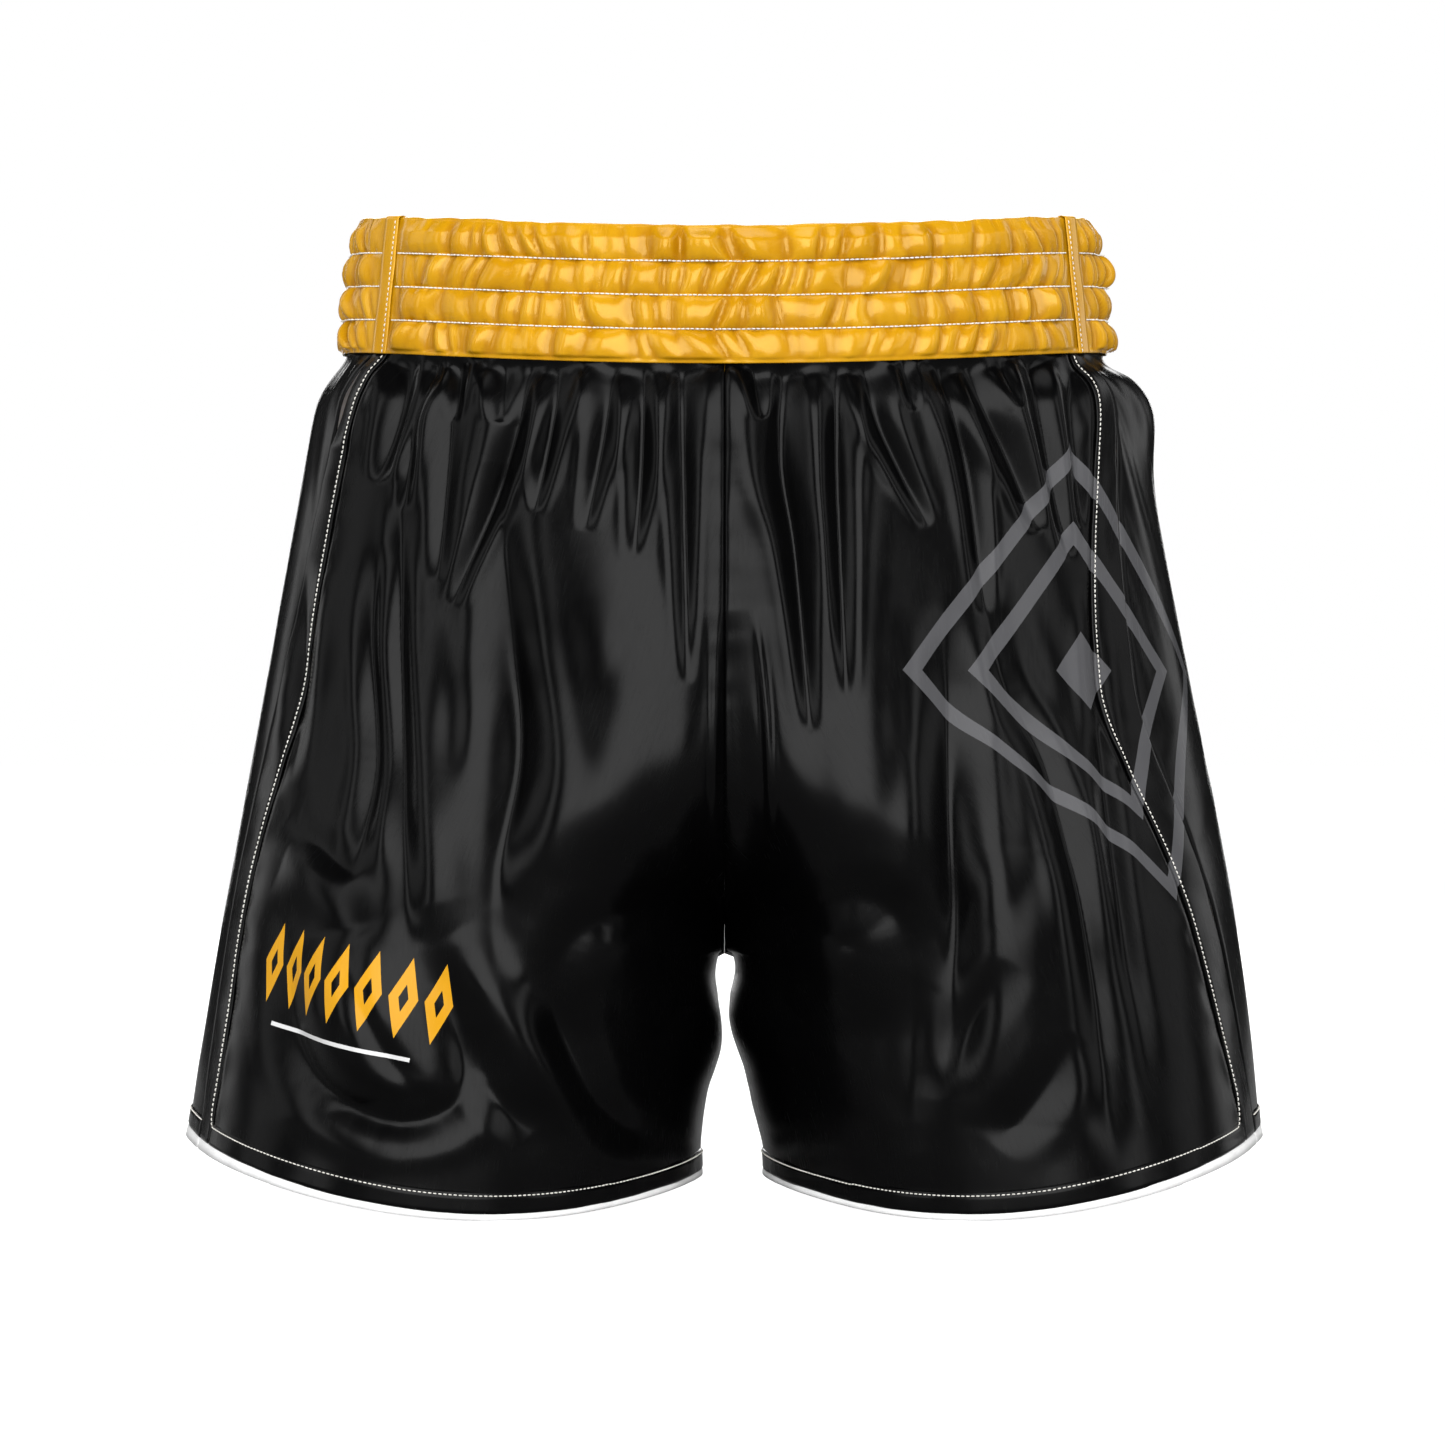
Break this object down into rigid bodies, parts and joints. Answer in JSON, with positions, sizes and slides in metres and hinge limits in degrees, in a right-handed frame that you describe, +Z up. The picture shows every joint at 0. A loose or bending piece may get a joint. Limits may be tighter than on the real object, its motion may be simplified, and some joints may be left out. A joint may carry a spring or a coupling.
{
  "type": "boxing shorts",
  "caption": "Black satin boxing shorts with a wide gold ruched elastic waistband, side trims, white topstitching and white hem edges, filled out as if worn.",
  "frame": {"origin": "on the floor under the middle of the garment, at the level of its lowest hems", "axes": "+Z up from the hems to the waistband, +X towards the wearer's left, and the front faces -Y"},
  "size_m": [0.48, 0.2646, 0.437],
  "materials": {
    "black_satin": "woven polyester satin, glossy",
    "inner_satin": "matt reverse of the body fabric",
    "gold_satin": "woven polyester satin, glossy, ruched",
    "gold_tape": "flat satin tape",
    "white_facing": "matt cotton facing",
    "white_thread": "polyester sewing thread",
    "elastic": "knitted elastic webbing",
    "grey_print": "matt print on satin",
    "gold_print": "satin print on satin"
  },
  "bodies": {
    "root": {"waistband_front": "gold_satin", "waistband_facing_front": "gold_satin", "waistband_back": "gold_satin", "waistband_facing_back": "gold_satin", "elastic_1": "elastic", "elastic_2": "elastic", "elastic_3": "elastic", "elastic_4": "elastic", "waist_stitch_row_1": "white_thread", "waist_stitch_row_2": "white_thread", "waist_stitch_row_3": "white_thread", "front_panel_right": "black_satin", "front_hem_band_right": "black_satin", "front_hem_facing_right": "white_facing", "back_panel_right": "black_satin", "back_hem_band_right": "black_satin", "back_hem_facing_right": "white_facing", "side_trim_right": "black_satin", "side_tape_right": "gold_tape", "front_topstitch_right": "white_thread", "back_hem_stitch_right": "white_thread", "front_panel_left": "black_satin", "front_hem_band_left": "black_satin", "front_hem_facing_left": "white_facing", "back_panel_left": "black_satin", "back_hem_band_left": "black_satin", "back_hem_facing_left": "white_facing", "side_trim_left": "black_satin", "side_tape_left": "gold_tape", "front_topstitch_left": "white_thread", "back_hem_stitch_left": "white_thread"}
  },
  "joints": []
}
